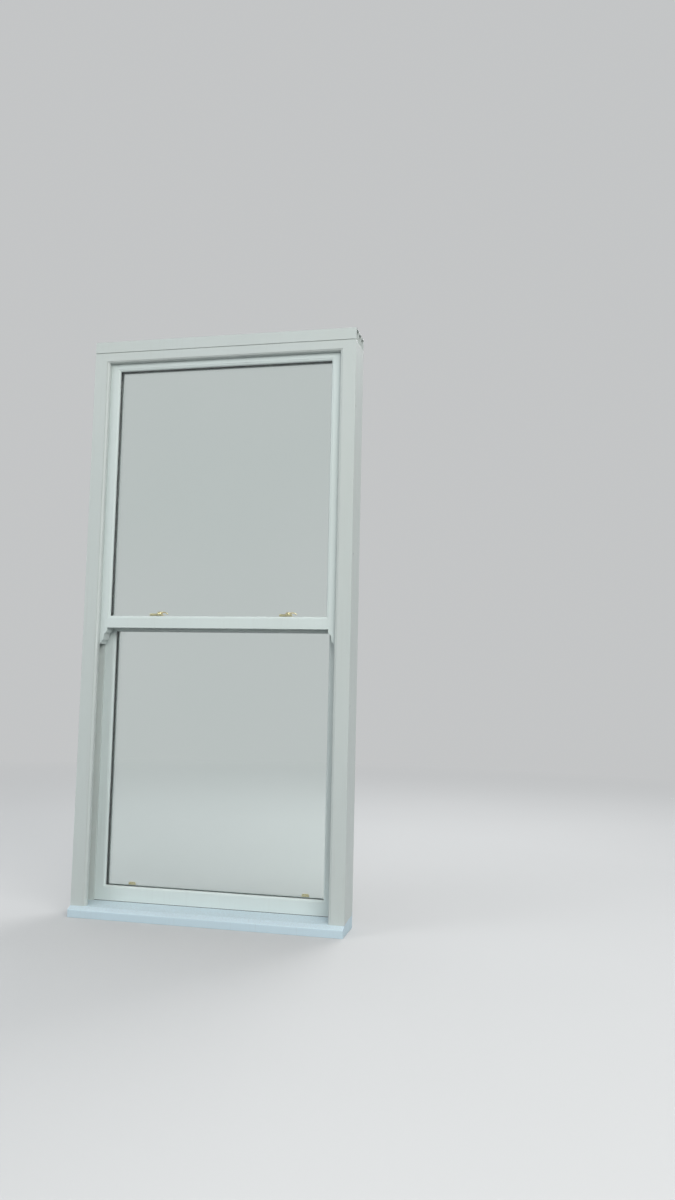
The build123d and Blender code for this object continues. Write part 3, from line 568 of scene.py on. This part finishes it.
def lever_ring(x, z, width, thick, lean, steps=20):
    """Cross-section of the lever: a plump rounded rectangle across its run."""
    ring = []
    for index in range(steps):
        angle = 2 * math.pi * index / steps
        c, s = math.cos(angle), math.sin(angle)
        u = math.copysign(abs(c) ** 0.55, c) * width / 2
        v = math.copysign(abs(s) ** 0.75, s) * thick / 2
        ring.append((x - v * math.sin(lean), u, z + v * math.cos(lean)))
    return ring


def lock_cam(side):
    """Hub, locking lobe and curved lever as one smooth casting."""
    x0, hub_low = lock_x[side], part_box(f"lock_cam_{side}")[0].z
    top = dome_low - POST_CLEARANCE - hub_low
    build = bmesh.new()
    bore = POST_RADIUS + POST_CLEARANCE
    profile = [(bore, 0.0), (HUB_RADIUS - 0.5 * MM, 0.0), (HUB_RADIUS, 0.5 * MM), (HUB_RADIUS, top - 1.6 * MM),
               (HUB_RADIUS - 0.4 * MM, top - 0.7 * MM), (HUB_RADIUS - 1.2 * MM, top - 0.15 * MM),
               (HUB_RADIUS - 2.0 * MM, top), (bore, top)]
    lathe(build, profile, (x0, lock_y, hub_low), 48, closed=True)
    # Lobe: a tapering nose from the hub, with soft edges
    far = LOBE_REACH - LOBE_NOSE
    lean = math.asin((HUB_RADIUS - LOBE_NOSE) / far)
    rings = []
    for inset, z in LOBE_RIM:
        ring = []
        for centre, radius, start, end in ((far, LOBE_NOSE - inset * MM, lean, math.pi - lean),
                                           (0.0, HUB_RADIUS - inset * MM, math.pi - lean, 2 * math.pi + lean)):
            steps = 16
            for index in range(steps + 1):
                angle = start + (end - start) * index / steps
                ring.append((x0 + radius * math.cos(angle), lock_y + centre + radius * math.sin(angle),
                             hub_low + LOBE_LIFT + z * MM))
        rings.append(ring)
    loft(build, rings)
    # Lever: rises out of the hub, arches over and ends in a broad thumb tip
    rings = []
    for index in range(LEVER_STATIONS + 1):
        share = index / LEVER_STATIONS
        turn = math.pi * (0.20 + 0.80 * share) ** 0.9
        x = LEVER_ROOT + LEVER_LENGTH * share
        z = LEVER_LOW + LEVER_ARCH * math.sin(turn)
        width = (8.6 - 1.8 * math.sin(math.pi * share) + 1.4 * share ** 2) * MM
        thick = (4.3 - 0.9 * share) * MM
        ending = max(0.0, (share - 0.86) / 0.14)
        shrink = math.sqrt(max(0.02, 1 - ending ** 2))
        slope = math.pi * 0.8 * 0.9 * math.cos(turn) * LEVER_ARCH / LEVER_LENGTH
        ring = lever_ring(x, z, width * shrink, thick * (0.35 + 0.65 * shrink), math.atan(slope))
        rings.append([(x0 + px, lock_y + py, hub_low + pz) for px, py, pz in ring])
    loft(build, rings)
    add_piece(f"lock_lever_{side}", build, f"{side}_cam", BRASS, 40.0, (f"lock_cam_{side}",))


lock_bases()
for side in ("left", "right"):
    lock_cam(side)
softened("keeper_plates", "lock_keepers", 0.45 * MM, "upper_sash")
softened("finger_lifts", "sash_lifts", 0.55 * MM, "lower_sash")

KEEPER_WALL = 2.2 * MM
KEEPER_BASE = 2.95 * MM
LIFT_HALF = 22 * MM
LIFT_THICKNESS = 2.45 * MM
LIFT_SCREW_HEIGHT = 9 * MM

keepers_low, keepers_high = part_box("lock_keepers")
keeper_y = (keepers_low.y + KEEPER_WALL + keepers_high.y) / 2
lifts_low, lifts_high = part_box("sash_lifts")
build = bmesh.new()
for x in lock_x.values():
    for offset in (-20 * MM, 20 * MM):
        screw_head(build, (x + offset, lock_y, plate_top - 0.05 * MM), (0, 0, 1), 2.9 * MM, 0.9 * MM,
                   0.5 + 31 * offset)
for x in (lifts_low.x + LIFT_HALF, lifts_high.x - LIFT_HALF):
    for offset in (-16 * MM, 16 * MM):
        screw_head(build, (x + offset, lifts_low.y + LIFT_THICKNESS, lifts_low.z + LIFT_SCREW_HEIGHT), (0, 1, 0),
                   2.7 * MM, 0.9 * MM, 1.1 + 25 * offset)
add_piece("fastener_and_lift_screws", build, "lower_sash", BRASS)

build = bmesh.new()
for x in lock_x.values():
    for offset in (-18 * MM, 18 * MM):
        screw_head(build, (x + offset, keeper_y, keepers_low.z + KEEPER_BASE), (0, 0, 1), 2.4 * MM, 0.8 * MM,
                   0.9 + 20 * offset)
add_piece("keeper_screws", build, "upper_sash", BRASS)


# Spiral rods of the balances: a flat strip twisted at an even pitch, with a ferrule on the shoe

SPIRAL_PITCH = 42 * MM
SPIRAL_STEP = 2.6 * MM
STRIP_HALF = 0.75 * MM
STRIP_EDGE = 0.3 * STRIP_HALF


def spiral_rod(place):
    """Twisted strip in place of a balance's plain rod."""
    low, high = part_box(f"balance_rod_{place}")
    x, y = (low.x + high.x) / 2, (low.y + high.y) / 2
    radius = (high.x - low.x) / 2
    inner = radius - 0.25 * MM
    section = ((radius, STRIP_EDGE), (inner, STRIP_HALF), (-inner, STRIP_HALF), (-radius, STRIP_EDGE),
               (-radius, -STRIP_EDGE), (-inner, -STRIP_HALF), (inner, -STRIP_HALF), (radius, -STRIP_EDGE))
    build = bmesh.new()
    length = high.z - low.z
    count = int(length / SPIRAL_STEP)
    rings = []
    for index in range(count + 1):
        z = low.z + length * index / count
        angle = 2 * math.pi * (z - low.z) / SPIRAL_PITCH
        along = Vector((math.cos(angle), math.sin(angle), 0))
        across = Vector((-math.sin(angle), math.cos(angle), 0))
        centre = Vector((x, y, z))
        rings.append([centre + along * a + across * b for a, b in section])
    loft(build, rings)
    lathe(build, [(radius * 0.5, 0.0), (radius, 0.3 * MM), (radius, 9 * MM), (radius * 0.6, 10 * MM)],
          (x, y, low.z), 24)
    body = "upper_sash" if place.startswith("upper") else "lower_sash"
    add_piece(f"spiral_rod_{place}", build, body, finishes["rod_steel"], 50.0,
              (f"balance_rod_{place}",))


for place in ("upper_left", "upper_right", "lower_left", "lower_right"):
    spiral_rod(place)


# Cover caps over the wall anchors, in the tracks of the upper sash

TRACK_X = 486 * MM
ANCHOR_Y = 26 * MM
ANCHOR_LOW = 250 * MM
ANCHOR_PITCH = 550 * MM
ANCHOR_COUNT = 4
# Radii and heights, in millimetres
CAP_PROFILE = ((0.3, -0.3), (5.5, -0.3), (5.5, 0.35), (5.1, 0.8), (4.0, 1.1), (2.0, 1.25), (0.3, 1.3))

build = bmesh.new()
for sign in (-1, 1):
    for index in range(ANCHOR_COUNT):
        place = (sign * TRACK_X, ANCHOR_Y, ANCHOR_LOW + ANCHOR_PITCH * index)
        cap = bmesh.new()
        lathe(cap, [(radius * MM, height * MM) for radius, height in CAP_PROFILE], (0, 0, 0), 36)
        place_copy(build, cap, place, (-sign, 0, 0))
add_piece("anchor_caps", build, "frame", finishes["sill_cap"])


# Welded corners: a fine seam along each mitre

SEAM_WIDTH = 0.9 * MM
SEAM_PROUD = 0.12 * MM
# Half widths to the side, heights off the surface
SEAM_SECTION = ((1, -1), (1, 0.4), (0.5, 1), (-0.5, 1), (-1, 0.4), (-1, -1))
SASH_OVOLO = 9 * MM
OVOLO_STEP = 1 * MM
OVOLO_BACK = 8 * MM
LIP_BACK = 11 * MM
SASH_DEPTH = 48 * MM
BEAD_OUT = 20 * MM


def seam(build, points, across):
    """Narrow strip along surface points; across is the direction of its width."""
    across = Vector(across).normalized()
    points = [Vector(point) for point in points]
    rings = []
    for index, point in enumerate(points):
        before = points[max(index - 1, 0)]
        after = points[min(index + 1, len(points) - 1)]
        normal = (after - before).cross(across).normalized()
        rings.append([point + across * a * SEAM_WIDTH / 2 + normal * b * SEAM_PROUD for a, b in SEAM_SECTION])
    loft(build, rings)


def sash_seams(build, corner, side, level, front, reach):
    """Seam over the street face, the ovolo and the lip of a sash corner, and over its room face."""
    def at(outward, depth):
        return (side * (corner[0] + outward), front + depth, corner[1] + level * outward)

    ovolo = []
    for index in range(9):
        angle = math.pi / 2 * index / 8
        ovolo.append(at(SASH_OVOLO * (1 - math.sin(angle)),
                        OVOLO_BACK - (OVOLO_BACK - OVOLO_STEP) * math.cos(angle)))
    across = (side, 0, -level)
    street = [at(reach, 0), at(SASH_OVOLO, 0), at(SASH_OVOLO, OVOLO_STEP)]
    seam(build, street + ovolo + [at(0, OVOLO_BACK), at(0, LIP_BACK)], across)
    seam(build, [at(reach, SASH_DEPTH), at(BEAD_OUT, SASH_DEPTH)], across)


sight_x = -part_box("upper_stile_left")[1].x
for body, rails in (("upper_sash", (("upper_top_rail", 1),)),
                    ("lower_sash", (("lower_top_rail", 1), ("lower_bottom_rail", -1)))):
    build = bmesh.new()
    for rail, level in rails:
        rail_low, rail_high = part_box(rail)
        sight_z = rail_low.z if level > 0 else rail_high.z
        for side in (-1, 1):
            sash_seams(build, (sight_x, sight_z), side, level, rail_low.y, rail_high.z - rail_low.z - 0.2 * MM)
    add_piece(f"{body}_seams", build, body, finishes["sash_level"])


# Wiper seal along the front foot of the lower sash, between the brushes of the two jambs

# Depths and heights from the rail's lower street edge, in millimetres
WIPER_PROFILE = ((0.4, 0.1), (0.4, 1.7), (-0.35, 1.5), (-0.8, 1.0), (-0.85, 0.45), (-0.5, 0.1))
BRUSH_CLEARANCE = 6 * MM

rail_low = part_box("lower_bottom_rail")[0]
wiper_end = -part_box("lower_track_brushes")[0].x - BRUSH_CLEARANCE
build = bmesh.new()
loft(build, [[(x, rail_low.y + depth * MM, rail_low.z + rise * MM) for depth, rise in WIPER_PROFILE]
             for x in (-wiper_end, wiper_end)])
add_piece("foot_wiper_seal", build, "lower_sash", finishes["gasket_rubber"], 50.0)


# Studio

BACKDROP = rgb(0.55, 0.56, 0.565)
PAPER = (rgb(0.56, 0.56, 0.555), rgb(0.59, 0.59, 0.585))
PAPER_TO_LIGHT = rgb(0.24, 0.24, 0.24)
FLOOR_CORNERS = ((-60, -40), (60, -40), (60, 80), (-60, 80))
FLOOR_LEVEL = -0.5 * MM
# Distances from the window at which the floor starts to fade and has gone, in metres
FADE_FROM, FADE_TO = 2.6, 7.5
LAMP_AIM = (0, 0, 1.1)
# Name, place, size, watts and tint of each lamp
LAMPS = (("key", (3.5, -4.7, 3.6), (5.5, 3.2), 245, (1.0, 0.99, 0.97)),
         ("fill", (-4.8, -4.2, 4.2), (3.0, 3.0), 95, (0.93, 0.97, 1.0)),
         ("back", (1.5, 4.4, 5.2), (3.0, 2.0), 140, (1.0, 1.0, 1.0)))


def seen_ray(tree):
    """1 for what the camera sees, straight or by way of glass and gloss; 0 for the light on the part."""
    path = tree.nodes.new("ShaderNodeLightPath")
    total = path.outputs["Is Camera Ray"]
    for name in ("Is Glossy Ray", "Is Transmission Ray"):
        either = tree.nodes.new("ShaderNodeMath")
        either.operation = "MAXIMUM"
        tree.links.new(total, either.inputs[0])
        tree.links.new(path.outputs[name], either.inputs[1])
        total = either.outputs["Value"]
    return total


def stage_floor():
    """Wide pale floor that takes the shadow and fades into the plain backdrop far away."""
    build = bmesh.new()
    build.faces.new([build.verts.new((x, y, FLOOR_LEVEL)) for x, y in FLOOR_CORNERS])
    mesh = bpy.data.meshes.new("floor")
    build.to_mesh(mesh)
    build.free()
    floor = bpy.data.objects.new("floor", mesh)
    scene.collection.objects.link(floor)
    m = Shader("floor_paper")
    seen = seen_ray(m.tree)
    paper = m.mix(m.noise(0.7, 2.0), *PAPER)
    m.set(Base_Color=m.mix(seen, PAPER_TO_LIGHT, paper), Roughness=0.85)
    length = m.node("ShaderNodeVectorMath", operation="LENGTH")
    m.link(m.coordinates, length.inputs[0])
    distant = m.remap(length.outputs["Value"], FADE_FROM, FADE_TO)
    plain = m.node("ShaderNodeEmission")
    plain.inputs["Color"].default_value = BACKDROP
    blend = m.node("ShaderNodeMixShader")
    m.link(m.math("MULTIPLY", distant, seen), blend.inputs["Fac"])
    m.link(m.bsdf.outputs["BSDF"], blend.inputs[1])
    m.link(plain.outputs["Emission"], blend.inputs[2])
    m.link(blend.outputs["Shader"], m.tree.nodes["Material Output"].inputs["Surface"])
    dress(floor, m.material)


def add_lamp(name, place, size, power, tint):
    """Rectangular soft lamp that looks at the middle of the window."""
    data = bpy.data.lights.new(name, "AREA")
    data.shape = "RECTANGLE"
    data.size, data.size_y = size
    data.energy = power
    data.color = tint
    lamp = bpy.data.objects.new(name, data)
    lamp.location = place
    aim = Vector(LAMP_AIM) - Vector(place)
    lamp.rotation_euler = aim.to_track_quat("-Z", "Y").to_euler()
    scene.collection.objects.link(lamp)


def add_world():
    """Soft sky light, brighter overhead than near the ground; the camera, metal and glass see the backdrop."""
    world = bpy.data.worlds.new("studio")
    world.use_nodes = True
    tree = world.node_tree
    sky = tree.nodes["Background"]
    sky.inputs["Color"].default_value = (0.92, 0.96, 1.0, 1.0)
    direction = tree.nodes.new("ShaderNodeTexCoord")
    split = tree.nodes.new("ShaderNodeSeparateXYZ")
    fade = tree.nodes.new("ShaderNodeMapRange")
    for key, number in (("From Min", 0.02), ("From Max", 0.50), ("To Min", 0.12), ("To Max", 0.78)):
        fade.inputs[key].default_value = number
    tree.links.new(direction.outputs["Generated"], split.inputs["Vector"])
    tree.links.new(split.outputs["Z"], fade.inputs["Value"])
    tree.links.new(fade.outputs["Result"], sky.inputs["Strength"])
    seen = tree.nodes.new("ShaderNodeBackground")
    seen.inputs["Color"].default_value = BACKDROP
    seen.inputs["Strength"].default_value = 1.0
    choice = tree.nodes.new("ShaderNodeMixShader")
    tree.links.new(seen_ray(tree), choice.inputs["Fac"])
    tree.links.new(sky.outputs["Background"], choice.inputs[1])
    tree.links.new(seen.outputs["Background"], choice.inputs[2])
    tree.links.new(choice.outputs["Shader"], tree.nodes["World Output"].inputs["Surface"])
    scene.world = world


stage_floor()
add_world()
for lamp in LAMPS:
    add_lamp(*lamp)
